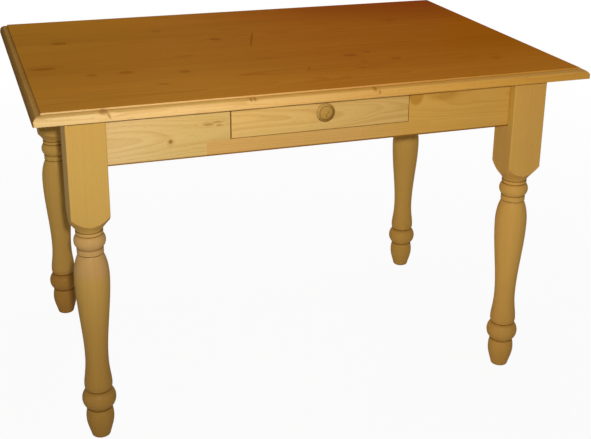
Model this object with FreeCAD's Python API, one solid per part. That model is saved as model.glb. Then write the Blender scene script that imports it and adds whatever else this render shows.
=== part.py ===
import FreeCAD, Part
import math
import os

from FreeCAD import Vector

# Tavern table in pine: a boarded top with a moulded edge on four turned legs, aprons tenoned
# into the legs, and one drawer with a turned knob, flush in the front apron.
# Millimetres. +Z is up, the origin is on the floor under the middle of the top, +X runs along
# the length, and the drawer is in the front, which faces -Y.

# ---- Driving dimensions -------------------------------------------------------------------

TABLE_HEIGHT = 775.0

# Top: boards edge to edge, with a stepped quarter-round moulding on all four sides.
TOP_LENGTH = 1200.0
TOP_DEPTH = 820.0
TOP_THICKNESS = 22.5
BOARD_COUNT = 6
MOULD_STEP = 3.5
MOULD_LEDGE = 2.0
MOULD_ROUND_WIDTH = 15.5
MOULD_LIP = 3.5
CORNER_ROUND = 5.0
ARRIS = 0.8

# Legs: a square block above a turned part. Heights of the turnings are their own heights;
# the long vase takes what is left between them.
LEG_INSET_END = 65.0
LEG_INSET_SIDE = 68.0
LEG_SQUARE = 80.0
LEG_ARRIS = 2.0
BLOCK_LENGTH = 219.5
SHOULDER_HEIGHT = 40.0
NECK_RADIUS = 28.0
BAND_HEIGHT = 6.0
BAND_RADIUS = 28.7
BEAD_HEIGHT = 28.0
BEAD_RADIUS = 33.4
COLLAR_HEIGHT = 11.0
COLLAR_RADIUS = 27.9
VASE_NECK_RADIUS = 26.4
VASE_RADIUS = 37.2
VASE_SHOULDER = 56.0
WAIST_RADIUS = 24.8
WAIST_RISE = 66.0
FLARE_RADIUS = 30.3
FLARE_LIP = 9.5
BALL_HEIGHT = 44.0
BALL_RADIUS = 36.7
FOOT_HEIGHT = 69.5
FOOT_RADIUS = 30.3
FOOT_SWELL_HEIGHT = 47.0
FOOT_TIP_RADIUS = 20.5
FOOT_TIP_ROUND = 3.0
QUIRK_WIDTH = 2.5
QUIRK_DEPTH = 1.6

# Aprons and their joints into the legs.
APRON_HEIGHT = 123.0
APRON_THICKNESS = 24.0
APRON_REVEAL = 22.0
APRON_ARRIS = 1.2
TENON_THICKNESS = 10.0
TENON_SHOULDER_TOP = 18.0
TENON_SHOULDER_BOTTOM = 10.0
TENON_MEETING_GAP = 4.0
MORTISE_SPARE_DEPTH = 2.0

# Front apron: a block at each side of the drawer, and a rail under it let into both blocks.
OPENING_CENTRE = 5.0
OPENING_WIDTH = 404.0
RAIL_HEIGHT = 33.0
RAIL_LAP = 51.0
DOWEL_RADIUS = 4.0
DOWEL_HALF_LENGTH = 18.0
DOWELS_PER_LAP = 2

# What carries and guides the drawer.
RUNNER_HEIGHT = 28.0
RUNNER_LEDGE = 27.0
RUNNER_TONGUE_HEIGHT = 12.0
RUNNER_TONGUE_SHOULDER = 7.0
TONGUE_WALL = 1.0
GUIDE_WIDTH = 18.0
GUIDE_HEIGHT = 20.0
KICKER_THICKNESS = 12.0
STOP_LENGTH = 30.0
STOP_HEIGHT = 22.0

# Drawer.
DRAWER_LENGTH = 480.0
DRAWER_SIDE_GAP = 1.75
DRAWER_SHIFT = 0.8
DRAWER_LIFT = 0.3
DRAWER_TOP_GAP = 1.0
FRONT_THICKNESS = 20.0
FRONT_GAP = 0.9
FRONT_ARRIS = 1.0
SIDE_THICKNESS = 12.0
SIDE_TOP_ROUND = 2.0
BACK_THICKNESS = 12.0
BACK_INSET = 14.0
BACK_DROP = 6.0
HOUSING_DEPTH = 5.0
PANEL_THICKNESS = 6.0
PANEL_RISE = 10.0
PANEL_GROOVE_DEPTH = 5.5
PANEL_SLACK = 0.1
TAIL_COUNT = 3
TAIL_LAP = 7.0
TAIL_SLOPE = 1.0 / 7.0
TAIL_SHARE = 0.62
PIN_RADIUS = 1.0
PIN_HEAD_RADIUS = 2.2
PIN_HEAD_HEIGHT = 0.8
PIN_BITE = 18.0
PIN_COUNT = 3

# Knob, measured outward from the drawer front.
KNOB_RADIUS = 20.0
KNOB_BASE_RADIUS = 12.0
KNOB_NECK_RADIUS = 9.0
KNOB_NECK_OUT = 7.0
KNOB_RIM_OUT = 20.0
KNOB_FACE_OUT = 24.5
KNOB_DISC_RADIUS = 14.0
KNOB_RING_WIDTH = 1.6
KNOB_RING_DEPTH = 1.8
KNOB_DOME = 1.5
KNOB_ARRIS = 0.8

# Turn-buttons that hold the top on the aprons, and the screws.
BUTTON_LENGTH = 38.0
BUTTON_WIDTH = 30.0
BUTTON_THICKNESS = 20.0
BUTTON_EASE = 2.0
BUTTON_STAND_OFF = 1.5
BUTTON_GROOVE_DROP = 11.0
BUTTON_GROOVE_HEIGHT = 9.0
BUTTON_GROOVE_DEPTH = 9.0
BUTTON_TONGUE_SLACK = 0.2
BACK_BUTTON_SPACING = 300.0
END_BUTTON_SPACING = 300.0
BACK_BUTTON_COUNT = 3
END_BUTTON_COUNT = 2
SCREW_RADIUS = 2.0
SCREW_HEAD_RADIUS = 4.0
SCREW_HEAD_HEIGHT = 2.4
SCREW_TIP = 3.0
SCREW_TOP_BITE = 15.0
SCREW_KNOB_BITE = 15.0
SCREW_SLACK = 0.1
KICKER_SCREW_COUNT = 3
KICKER_SCREW_END = 60.0

TOLERANCE = 0.01
QUARTER_PULL = 0.5523  # control points of a cubic curve that follows a quarter circle
OFFCUT_SPARE = 5.0

# ---- Places worked out from the driving dimensions ----------------------------------------

underside = TABLE_HEIGHT - TOP_THICKNESS
block_bottom = underside - BLOCK_LENGTH
apron_bottom = underside - APRON_HEIGHT
rail_top = apron_bottom + RAIL_HEIGHT

leg_x = TOP_LENGTH / 2 - LEG_INSET_END - LEG_SQUARE / 2
leg_y = TOP_DEPTH / 2 - LEG_INSET_SIDE - LEG_SQUARE / 2
leg_inner_x = leg_x - LEG_SQUARE / 2
leg_inner_y = leg_y - LEG_SQUARE / 2

apron_outer_x = leg_x + LEG_SQUARE / 2 - APRON_REVEAL
apron_outer_y = leg_y + LEG_SQUARE / 2 - APRON_REVEAL
apron_inner_x = apron_outer_x - APRON_THICKNESS
apron_inner_y = apron_outer_y - APRON_THICKNESS
tenon_middle_x = (apron_outer_x + apron_inner_x) / 2
tenon_middle_y = (apron_outer_y + apron_inner_y) / 2
tenon_bottom = apron_bottom + TENON_SHOULDER_BOTTOM
tenon_top = underside - TENON_SHOULDER_TOP
tenon_length_x = tenon_middle_x - TENON_THICKNESS / 2 - TENON_MEETING_GAP - leg_inner_x
tenon_length_y = tenon_middle_y - TENON_THICKNESS / 2 - TENON_MEETING_GAP - leg_inner_y

runner_tongue_length = APRON_THICKNESS / 2 - DOWEL_RADIUS - TONGUE_WALL

opening_left = OPENING_CENTRE - OPENING_WIDTH / 2
opening_right = OPENING_CENTRE + OPENING_WIDTH / 2

button_groove_top = underside - BUTTON_GROOVE_DROP
button_groove_bottom = button_groove_top - BUTTON_GROOVE_HEIGHT

kicker_bottom = underside - KICKER_THICKNESS

drawer_middle = OPENING_CENTRE + DRAWER_SHIFT
drawer_half_width = OPENING_WIDTH / 2 - DRAWER_SIDE_GAP
front_face_y = -apron_outer_y
front_back_y = front_face_y + FRONT_THICKNESS
drawer_rear_y = front_face_y + DRAWER_LENGTH
front_bottom = rail_top + FRONT_GAP
front_top = underside - FRONT_GAP
front_middle_z = (front_bottom + front_top) / 2
side_bottom = rail_top + DRAWER_LIFT
side_top = kicker_bottom - DRAWER_TOP_GAP
side_inner = drawer_half_width - SIDE_THICKNESS
panel_bottom = side_bottom + PANEL_RISE
panel_top = panel_bottom + PANEL_THICKNESS
back_rear_y = drawer_rear_y - BACK_INSET
back_front_y = back_rear_y - BACK_THICKNESS


# ---- Drawing and shaping helpers ----------------------------------------------------------

class Outline:
    """A closed outline drawn stretch by stretch; `place` turns two coordinates into a point."""

    def __init__(self, place, start):
        self.place = place
        self.start = start
        self.here = start
        self.edges = []

    def line(self, end):
        self.edges.append(Part.makeLine(self.place(*self.here), self.place(*end)))
        self.here = end

    def arc(self, middle, end):
        arc = Part.Arc(self.place(*self.here), self.place(*middle), self.place(*end))
        self.edges.append(arc.toShape())
        self.here = end

    def curve(self, first_pull, second_pull, end):
        bezier = Part.BezierCurve()
        bezier.setPoles([self.place(*p) for p in (self.here, first_pull, second_pull, end)])
        self.edges.append(bezier.toShape())
        self.here = end

    def face(self):
        if self.here != self.start:
            self.line(self.start)
        return Part.Face(Part.Wire(self.edges))


def upright(radius, height):
    return Vector(radius, 0, height)


def box(low, high):
    size = Vector(*high) - Vector(*low)
    return Part.makeBox(size.x, size.y, size.z, Vector(*low))


def cylinder(radius, start, end):
    start, end = Vector(*start), Vector(*end)
    return Part.makeCylinder(radius, (end - start).Length, start, end - start)


def moved(shape, x, y, z):
    copy = shape.copy()
    copy.translate(Vector(x, y, z))
    return copy


def mirrored(shape, normal):
    return shape.mirror(Vector(0, 0, 0), Vector(*normal))


def eased(solid, radius, picks):
    """Round the edges whose bounding box passes the test."""
    return solid.makeFillet(radius, [edge for edge in solid.Edges if picks(edge.BoundBox)])


def spread(count, spacing):
    """Evenly spaced places about the middle."""
    return [spacing * (i - (count - 1) / 2) for i in range(count)]


def write(node, shape):
    shape.exportStep(os.path.join("parts", node + ".step"))


# ---- Top ----------------------------------------------------------------------------------

def mould_offcut(half, place):
    """Section of what the moulding plane takes off an edge that lies `half` from the middle."""
    ledge = TABLE_HEIGHT - MOULD_STEP
    round_start = underside + MOULD_LIP
    inner = half - MOULD_ROUND_WIDTH
    flat = inner - MOULD_LEDGE
    outside, above = half + OFFCUT_SPARE, TABLE_HEIGHT + OFFCUT_SPARE
    outline = Outline(place, (flat - ARRIS, TABLE_HEIGHT))
    turn = ARRIS * (1 - QUARTER_PULL)
    outline.curve((flat - turn, TABLE_HEIGHT), (flat, TABLE_HEIGHT - turn), (flat, TABLE_HEIGHT - ARRIS))
    outline.line((flat, ledge))
    outline.line((inner, ledge))
    outline.curve((inner + QUARTER_PULL * MOULD_ROUND_WIDTH, ledge),
                  (half, round_start + QUARTER_PULL * (ledge - round_start)), (half, round_start))
    outline.line((outside, round_start))
    outline.line((outside, above))
    outline.line((flat - ARRIS, above))
    return outline.face()


def moulded_slab():
    """The whole top: eased below, and moulded on all four sides with mitred, rubbed corners."""
    half_length, half_depth = TOP_LENGTH / 2, TOP_DEPTH / 2
    slab = box((-half_length, -half_depth, underside), (half_length, half_depth, TABLE_HEIGHT))
    slab = eased(slab, CORNER_ROUND, lambda b: b.ZLength > TOLERANCE)
    slab = eased(slab, ARRIS, lambda b: b.ZMax < underside + TOLERANCE)
    end_x, end_y = -half_length - OFFCUT_SPARE, -half_depth - OFFCUT_SPARE
    back = mould_offcut(half_depth, lambda y, z: Vector(end_x, y, z)).extrude(Vector(-2 * end_x, 0, 0))
    right = mould_offcut(half_length, lambda x, z: Vector(x, end_y, z)).extrude(Vector(0, -2 * end_y, 0))
    return slab.cut([back, mirrored(back, (0, 1, 0)), right, mirrored(right, (1, 0, 0))])


def top_boards(screws):
    slab = moulded_slab().cut(screws)
    width = TOP_DEPTH / BOARD_COUNT
    boards = {}
    for i in range(BOARD_COUNT):
        low = -TOP_DEPTH / 2 + i * width
        strip = box((-TOP_LENGTH / 2, low, underside), (TOP_LENGTH / 2, low + width, TABLE_HEIGHT))
        boards[f"top_board_{i + 1}"] = slab.common(strip)
    return boards


# ---- Legs ---------------------------------------------------------------------------------

def quirk(outline, radius_after):
    """A narrow sunk line between two turned members, drawn upward."""
    radius, height = outline.here
    sunk = min(radius, radius_after) - QUIRK_DEPTH
    outline.line((sunk, height))
    outline.line((sunk, height + QUIRK_WIDTH))
    outline.line((radius_after, height + QUIRK_WIDTH))


def swell(outline, peak_radius, height):
    """A bead that leaves and comes back to the same radius, drawn upward."""
    radius, start = outline.here
    outline.arc((peak_radius, start + height / 2), (radius, start + height))


def leg_outline():
    """Half-section of the turned leg, from the tip of the foot up to the top of the block."""
    corner = LEG_SQUARE / 2 * math.sqrt(2) + 1.0
    outline = Outline(upright, (0.0, 0.0))
    outline.line((FOOT_TIP_RADIUS - FOOT_TIP_ROUND, 0.0))
    outline.curve((FOOT_TIP_RADIUS - FOOT_TIP_ROUND / 2, 0.0), (FOOT_TIP_RADIUS, FOOT_TIP_ROUND / 2),
                  (FOOT_TIP_RADIUS, FOOT_TIP_ROUND))
    foot_rise = FOOT_SWELL_HEIGHT - FOOT_TIP_ROUND
    foot_gain = FOOT_RADIUS - FOOT_TIP_RADIUS
    outline.curve((FOOT_TIP_RADIUS + 0.4 * foot_gain, FOOT_TIP_ROUND + foot_rise / 3),
                  (FOOT_RADIUS, FOOT_SWELL_HEIGHT - foot_rise / 3), (FOOT_RADIUS, FOOT_SWELL_HEIGHT))
    foot_neck = FOOT_RADIUS - 2 * QUIRK_DEPTH
    outline.curve((FOOT_RADIUS, FOOT_HEIGHT - (FOOT_HEIGHT - FOOT_SWELL_HEIGHT) / 2),
                  (foot_neck + QUIRK_DEPTH / 2, FOOT_HEIGHT - QUIRK_DEPTH), (foot_neck, FOOT_HEIGHT))
    quirk(outline, foot_neck)
    swell(outline, BALL_RADIUS, BALL_HEIGHT)
    quirk(outline, FLARE_RADIUS - QUIRK_DEPTH)

    lip = outline.here[1] + FLARE_LIP
    outline.curve((FLARE_RADIUS - QUIRK_DEPTH / 3, lip - 2 * FLARE_LIP / 3),
                  (FLARE_RADIUS, lip - FLARE_LIP / 3), (FLARE_RADIUS, lip))
    waist = lip + WAIST_RISE
    outline.curve((FLARE_RADIUS, lip + WAIST_RISE / 4), (WAIST_RADIUS, waist - WAIST_RISE / 2),
                  (WAIST_RADIUS, waist))
    turned_above = SHOULDER_HEIGHT + BAND_HEIGHT + BEAD_HEIGHT + COLLAR_HEIGHT + 4 * QUIRK_WIDTH
    vase_top = block_bottom - turned_above
    belly = vase_top - VASE_SHOULDER
    reach = (belly - waist) / 3
    outline.curve((WAIST_RADIUS, waist + reach), (VASE_RADIUS, belly - reach), (VASE_RADIUS, belly))
    outline.curve((VASE_RADIUS, belly + VASE_SHOULDER / 2),
                  (VASE_NECK_RADIUS + VASE_SHOULDER / 12, vase_top - VASE_SHOULDER / 6),
                  (VASE_NECK_RADIUS, vase_top))
    quirk(outline, COLLAR_RADIUS)
    outline.line((COLLAR_RADIUS, outline.here[1] + COLLAR_HEIGHT))
    quirk(outline, COLLAR_RADIUS)
    swell(outline, BEAD_RADIUS, BEAD_HEIGHT)
    quirk(outline, BAND_RADIUS)
    outline.line((BAND_RADIUS, outline.here[1] + BAND_HEIGHT))
    quirk(outline, NECK_RADIUS)

    gain = corner - NECK_RADIUS
    foot_of_shoulder = outline.here[1]
    outline.curve((NECK_RADIUS + gain / 7, foot_of_shoulder + SHOULDER_HEIGHT / 4),
                  (corner - 0.3 * gain, block_bottom - 0.4 * SHOULDER_HEIGHT), (corner, block_bottom))
    outline.line((corner, underside))
    outline.line((0.0, underside))
    return outline


def leg_blank():
    """The turned shape inside the squared timber, about the Z axis."""
    half = LEG_SQUARE / 2
    timber = box((-half, -half, 0.0), (half, half, underside))
    timber = eased(timber, LEG_ARRIS, lambda b: b.ZLength > LEG_SQUARE)
    turned = leg_outline().face().revolve(Vector(0, 0, 0), Vector(0, 0, 1), 360)
    return timber.common(turned)


def legs():
    """The blank, mortised on its two inner faces, at each corner."""
    half = TENON_THICKNESS / 2
    long_end = leg_inner_x + tenon_length_x + MORTISE_SPARE_DEPTH
    long_mortise = box((leg_inner_x, tenon_middle_y - half, tenon_bottom),
                       (long_end, tenon_middle_y + half, tenon_top))
    cross_end = leg_inner_y + tenon_length_y + MORTISE_SPARE_DEPTH
    end_mortise = box((tenon_middle_x - half, leg_inner_y, tenon_bottom),
                      (tenon_middle_x + half, cross_end, tenon_top))
    back_right = moved(leg_blank(), leg_x, leg_y, 0).cut([long_mortise, end_mortise])
    back_left = mirrored(back_right, (1, 0, 0))
    return {
        "leg_back_right": back_right,
        "leg_back_left": back_left,
        "leg_front_right": mirrored(back_right, (0, 1, 0)),
        "leg_front_left": mirrored(back_left, (0, 1, 0)),
    }


# ---- Aprons -------------------------------------------------------------------------------

def long_tenon(x_start, x_end):
    """Tenon of a long apron, on the +Y side."""
    half = TENON_THICKNESS / 2
    return box((x_start, tenon_middle_y - half, tenon_bottom), (x_end, tenon_middle_y + half, tenon_top))


def long_board(x_start, x_end, z_bottom, z_top):
    """Stretch of a long apron on the +Y side, with its lower arrises eased."""
    board = box((x_start, apron_inner_y, z_bottom), (x_end, apron_outer_y, z_top))
    return eased(board, APRON_ARRIS,
                 lambda b: b.YLength < TOLERANCE and b.ZMax < apron_bottom + TOLERANCE)


def long_button_groove(x_start, x_end):
    return box((x_start, apron_inner_y, button_groove_bottom),
               (x_end, apron_inner_y + BUTTON_GROOVE_DEPTH, button_groove_top))


def runner_tongue(side, y_start, y_end):
    """Stub of a runner; side is -1 for the left runner and 1 for the right one."""
    inner, outer = runner_edges(side)
    low, high = sorted((inner, outer))
    middle = rail_top - RUNNER_HEIGHT / 2
    return box((low + RUNNER_TONGUE_SHOULDER, y_start, middle - RUNNER_TONGUE_HEIGHT / 2),
               (high - RUNNER_TONGUE_SHOULDER, y_end, middle + RUNNER_TONGUE_HEIGHT / 2))


def apron_back():
    reach = leg_inner_x + tenon_length_x
    board = long_board(-leg_inner_x, leg_inner_x, apron_bottom, underside)
    board = board.fuse([long_tenon(leg_inner_x, reach), long_tenon(-reach, -leg_inner_x)])
    stubs = [runner_tongue(side, apron_inner_y, apron_inner_y + runner_tongue_length) for side in (-1, 1)]
    return board.cut([long_button_groove(-leg_inner_x, leg_inner_x)] + stubs)


def apron_end():
    """The apron of the +X end, tenoned into the front and back legs."""
    half = TENON_THICKNESS / 2
    reach = leg_inner_y + tenon_length_y
    board = box((apron_inner_x, -leg_inner_y, apron_bottom), (apron_outer_x, leg_inner_y, underside))
    board = eased(board, APRON_ARRIS,
                  lambda b: b.XLength < TOLERANCE and b.ZMax < apron_bottom + TOLERANCE)
    tenon = box((tenon_middle_x - half, -reach, tenon_bottom), (tenon_middle_x + half, reach, tenon_top))
    groove = box((apron_inner_x, -leg_inner_y, button_groove_bottom),
                 (apron_inner_x + BUTTON_GROOVE_DEPTH, leg_inner_y, button_groove_top))
    return board.fuse(tenon).removeSplitter().cut(groove)


def front_block(side, dowels):
    """Apron board between a front leg and the drawer, notched at its foot for the rail."""
    opening = opening_left if side < 0 else opening_right
    near, far = side * opening, leg_inner_x
    board = long_board(near, far, apron_bottom, underside)
    board = board.fuse(long_tenon(far, far + tenon_length_x))
    notch = box((near, apron_inner_y, apron_bottom), (near + RAIL_LAP, apron_outer_y, rail_top))
    board = board.cut([notch, long_button_groove(near, far)])
    board = mirrored(board, (0, 1, 0))
    if side < 0:
        board = mirrored(board, (1, 0, 0))
    return board.cut(dowels)


def drawer_rail(dowels):
    rail = long_board(opening_left - RAIL_LAP, opening_right + RAIL_LAP, apron_bottom, rail_top)
    rail = mirrored(rail, (0, 1, 0))
    stubs = [runner_tongue(side, -apron_inner_y - runner_tongue_length, -apron_inner_y) for side in (-1, 1)]
    return rail.cut(stubs + dowels)


def rail_dowels(slack):
    """Upright dowels between the rail and the blocks, in the middle of each lap."""
    pins = []
    for side, opening in ((-1, opening_left), (1, opening_right)):
        for offset in spread(DOWELS_PER_LAP, RAIL_LAP / DOWELS_PER_LAP):
            x = opening + side * (RAIL_LAP / 2) + offset
            reach = DOWEL_HALF_LENGTH + slack
            pins.append(cylinder(DOWEL_RADIUS + slack, (x, -tenon_middle_y, rail_top - reach),
                                 (x, -tenon_middle_y, rail_top + reach)))
    return pins


# ---- Drawer carriage ----------------------------------------------------------------------

def runner_edges(side):
    """X of a runner's edge under the drawer and of its edge under the guide."""
    opening = opening_left if side < 0 else opening_right
    return opening - side * RUNNER_LEDGE, opening + side * GUIDE_WIDTH


def carriage_strip(side, z_bottom, z_top):
    low, high = sorted(runner_edges(side))
    return box((low, -apron_inner_y, z_bottom), (high, apron_inner_y, z_top))


def runner(side):
    strip = carriage_strip(side, rail_top - RUNNER_HEIGHT, rail_top)
    reach = apron_inner_y + runner_tongue_length
    tongue = runner_tongue(side, -reach, reach)
    return strip.fuse(tongue).removeSplitter()


def guide(side):
    opening = opening_left if side < 0 else opening_right
    low, high = sorted((opening, opening + side * GUIDE_WIDTH))
    return box((low, -apron_inner_y, rail_top), (high, apron_inner_y, rail_top + GUIDE_HEIGHT))


def kicker(side, screws):
    return carriage_strip(side, kicker_bottom, underside).cut(screws)


def drawer_stop(side):
    """Block on the runner that the end of a drawer side meets when the drawer is shut."""
    opening = opening_left if side < 0 else opening_right
    low, high = sorted((opening, opening - side * RUNNER_LEDGE))
    return box((low, drawer_rear_y, rail_top),
               (high, drawer_rear_y + STOP_LENGTH, rail_top + STOP_HEIGHT))


# ---- Drawer -------------------------------------------------------------------------------

def tails():
    """Dovetails on the +X side of the drawer, widening toward the front."""
    pitch = (side_top - side_bottom) / TAIL_COUNT
    length = FRONT_THICKNESS - TAIL_LAP
    end_half = pitch * TAIL_SHARE / 2
    root_half = end_half - length * TAIL_SLOPE
    solids = []
    for i in range(TAIL_COUNT):
        middle = side_bottom + pitch * (i + 0.5)
        tail = Outline(lambda y, z: Vector(side_inner, y, z), (front_back_y, middle - root_half))
        tail.line((front_back_y - length, middle - end_half))
        tail.line((front_back_y - length, middle + end_half))
        tail.line((front_back_y, middle + root_half))
        solids.append(tail.face().extrude(Vector(SIDE_THICKNESS, 0, 0)))
    return solids


def panel_space(slack):
    """The drawer bottom in its grooves, or with slack the grooves themselves."""
    reach = side_inner + PANEL_GROOVE_DEPTH - PANEL_SLACK + slack
    return box((-reach, front_back_y - PANEL_GROOVE_DEPTH + PANEL_SLACK - slack, panel_bottom - slack),
               (reach, back_rear_y + (DRAWER_LENGTH if slack else 0.0), panel_top + slack))


def drawer_side():
    """The +X side: tails in front, grooved for the bottom and housed for the back."""
    board = box((side_inner, front_back_y, side_bottom), (drawer_half_width, drawer_rear_y, side_top))
    board = eased(board, SIDE_TOP_ROUND,
                  lambda b: b.YLength > SIDE_THICKNESS and b.ZMin > side_top - TOLERANCE)
    housing = box((side_inner, back_front_y, panel_top),
                  (side_inner + HOUSING_DEPTH, back_rear_y, side_top))
    return board.fuse(tails()).cut([panel_space(PANEL_SLACK), housing])


def drawer_front(knob_screw_hole):
    board = box((-drawer_half_width, front_face_y, front_bottom),
                (drawer_half_width, front_back_y, front_top))
    board = eased(board, FRONT_ARRIS, lambda b: b.YMax < front_face_y + TOLERANCE)
    sockets = tails() + [mirrored(tail, (1, 0, 0)) for tail in tails()]
    return board.cut(sockets + [panel_space(PANEL_SLACK), knob_screw_hole])


def drawer_back(pins):
    reach = side_inner + HOUSING_DEPTH - PANEL_SLACK
    board = box((-reach, back_front_y, panel_top + PANEL_SLACK), (reach, back_rear_y, side_top - BACK_DROP))
    return board.cut(pins)


def drawer_bottom(pins):
    return panel_space(0.0).cut(pins)


def bottom_pins(slack):
    """Pins up through the bottom into the lower edge of the back."""
    y = (back_front_y + back_rear_y) / 2
    pins = []
    for x in spread(PIN_COUNT, 2 * side_inner / PIN_COUNT):
        head_face = panel_bottom - PIN_HEAD_HEIGHT
        head = cylinder(PIN_HEAD_RADIUS + slack, (x, y, head_face), (x, y, panel_bottom))
        shank = cylinder(PIN_RADIUS + slack, (x, y, panel_bottom), (x, y, panel_top + PIN_BITE + slack))
        pins.append(head.fuse(shank))
    return pins


def knob():
    """Turned knob about the Y axis: a waisted stem, a round rim, and a disc inside a sunk ring."""
    outline = Outline(lambda r, out: Vector(r, -out, 0), (0.0, 0.0))
    outline.line((KNOB_BASE_RADIUS, 0.0))
    outline.curve((KNOB_BASE_RADIUS, KNOB_NECK_OUT / 3), (KNOB_NECK_RADIUS, KNOB_NECK_OUT / 2),
                  (KNOB_NECK_RADIUS, KNOB_NECK_OUT))
    flare = KNOB_RIM_OUT - KNOB_NECK_OUT
    outline.curve((KNOB_NECK_RADIUS, KNOB_NECK_OUT + flare / 2), (KNOB_RADIUS, KNOB_RIM_OUT - flare / 2),
                  (KNOB_RADIUS, KNOB_RIM_OUT))
    ring_outer = KNOB_DISC_RADIUS + KNOB_RING_WIDTH
    outline.curve((KNOB_RADIUS, KNOB_FACE_OUT), (ring_outer + KNOB_ARRIS, KNOB_FACE_OUT),
                  (ring_outer, KNOB_FACE_OUT - KNOB_ARRIS))
    ring_floor = KNOB_FACE_OUT - KNOB_RING_DEPTH
    crown = KNOB_FACE_OUT + KNOB_DOME
    outline.arc(((ring_outer + KNOB_DISC_RADIUS) / 2, ring_floor),
                (KNOB_DISC_RADIUS, KNOB_FACE_OUT - KNOB_ARRIS))
    outline.curve((KNOB_DISC_RADIUS - KNOB_ARRIS, KNOB_FACE_OUT), (KNOB_DISC_RADIUS / 2, crown),
                  (0.0, crown))
    turned = outline.face().revolve(Vector(0, 0, 0), Vector(0, 1, 0), 360)
    return moved(turned, 0, front_face_y, front_middle_z)


# ---- Fixings ------------------------------------------------------------------------------

def screw(length, slack):
    """Wood screw that points up +Z, the face of its countersunk head flush at the origin."""
    radius = SCREW_RADIUS + slack
    outline = Outline(upright, (0.0, 0.0))
    outline.line((SCREW_HEAD_RADIUS + slack, 0.0))
    outline.line((radius, SCREW_HEAD_HEIGHT))
    outline.line((radius, length - SCREW_TIP))
    outline.line((slack + SCREW_RADIUS / 4, length + slack))
    outline.line((0.0, length + slack))
    return outline.face().revolve(Vector(0, 0, 0), Vector(0, 0, 1), 360)


def button_places():
    """(name, x, y, turn about Z) of each button; the turn points its tongue at its apron."""
    places = []
    for x in spread(BACK_BUTTON_COUNT, BACK_BUTTON_SPACING):
        places.append((x, apron_inner_y, 0))
    for y in spread(END_BUTTON_COUNT, END_BUTTON_SPACING):
        places.append((apron_inner_x, y, -90))
        places.append((-apron_inner_x, y, 90))
    places.append(((opening_left - GUIDE_WIDTH - leg_inner_x) / 2, -apron_inner_y, 180))
    places.append(((opening_right + GUIDE_WIDTH + leg_inner_x) / 2, -apron_inner_y, 180))
    return places


def at_apron(shape, place):
    """Turn a shape drawn at the origin, with its apron toward +Y, to its place."""
    x, y, turn = place
    copy = shape.copy()
    copy.rotate(Vector(0, 0, 0), Vector(0, 0, 1), turn)
    return moved(copy, x, y, underside)


def button():
    """Wooden turn-button under the top, its tongue in the apron's groove toward +Y."""
    half = BUTTON_WIDTH / 2
    inner_end = -BUTTON_STAND_OFF - BUTTON_LENGTH
    body = box((-half, inner_end, -BUTTON_THICKNESS), (half, -BUTTON_STAND_OFF, 0.0))
    body = eased(body, BUTTON_EASE,
                 lambda b: b.YLength < TOLERANCE and b.ZMax < TOLERANCE - BUTTON_THICKNESS)
    tongue_top = -BUTTON_GROOVE_DROP - BUTTON_TONGUE_SLACK
    tongue_bottom = -BUTTON_GROOVE_DROP - BUTTON_GROOVE_HEIGHT + BUTTON_TONGUE_SLACK
    tongue = box((-half, -BUTTON_STAND_OFF, max(tongue_bottom, BUTTON_EASE - BUTTON_THICKNESS)),
                 (half, BUTTON_GROOVE_DEPTH - BUTTON_STAND_OFF, tongue_top))
    return body.fuse(tongue)


def button_screws(slack):
    y = -BUTTON_STAND_OFF - BUTTON_LENGTH / 2
    upright_screw = moved(screw(BUTTON_THICKNESS + SCREW_TOP_BITE, slack), 0, y, -BUTTON_THICKNESS)
    return [at_apron(upright_screw, place) for place in button_places()]


def kicker_screws(slack):
    reach = apron_inner_y - KICKER_SCREW_END
    upright_screw = screw(KICKER_THICKNESS + SCREW_TOP_BITE, slack)
    screws = []
    for side in (-1, 1):
        x = sum(runner_edges(side)) / 2
        for y in spread(KICKER_SCREW_COUNT, 2 * reach / (KICKER_SCREW_COUNT - 1)):
            screws.append(moved(upright_screw, x, y, kicker_bottom))
    return screws


def knob_screw(slack):
    """From inside the drawer, through the front and into the knob."""
    copy = screw(FRONT_THICKNESS + SCREW_KNOB_BITE, slack)
    copy.rotate(Vector(0, 0, 0), Vector(1, 0, 0), 90)
    return moved(copy, 0, front_back_y, front_middle_z)


# ---- Assembly -----------------------------------------------------------------------------

def fixed_parts():
    into_top = button_screws(SCREW_SLACK) + kicker_screws(SCREW_SLACK)
    dowel_holes = rail_dowels(SCREW_SLACK)
    end = apron_end()
    parts = top_boards(into_top)
    parts.update(legs())
    parts["apron_back"] = apron_back()
    parts["apron_right"] = end
    parts["apron_left"] = mirrored(end, (1, 0, 0))
    parts["apron_front_left"] = front_block(-1, dowel_holes)
    parts["apron_front_right"] = front_block(1, dowel_holes)
    parts["drawer_rail"] = drawer_rail(dowel_holes)
    for name, side in (("left", -1), ("right", 1)):
        parts["runner_" + name] = runner(side)
        parts["guide_" + name] = guide(side)
        parts["kicker_" + name] = kicker(side, kicker_screws(SCREW_SLACK))
        parts["drawer_stop_" + name] = drawer_stop(side)
    for i, place in enumerate(button_places()):
        parts[f"top_button_{i + 1}"] = at_apron(button(), place).cut(button_screws(SCREW_SLACK))
    parts["rail_dowels"] = Part.makeCompound(rail_dowels(0.0))
    parts["button_screws"] = Part.makeCompound(button_screws(0.0))
    parts["kicker_screws"] = Part.makeCompound(kicker_screws(0.0))
    return parts


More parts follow.
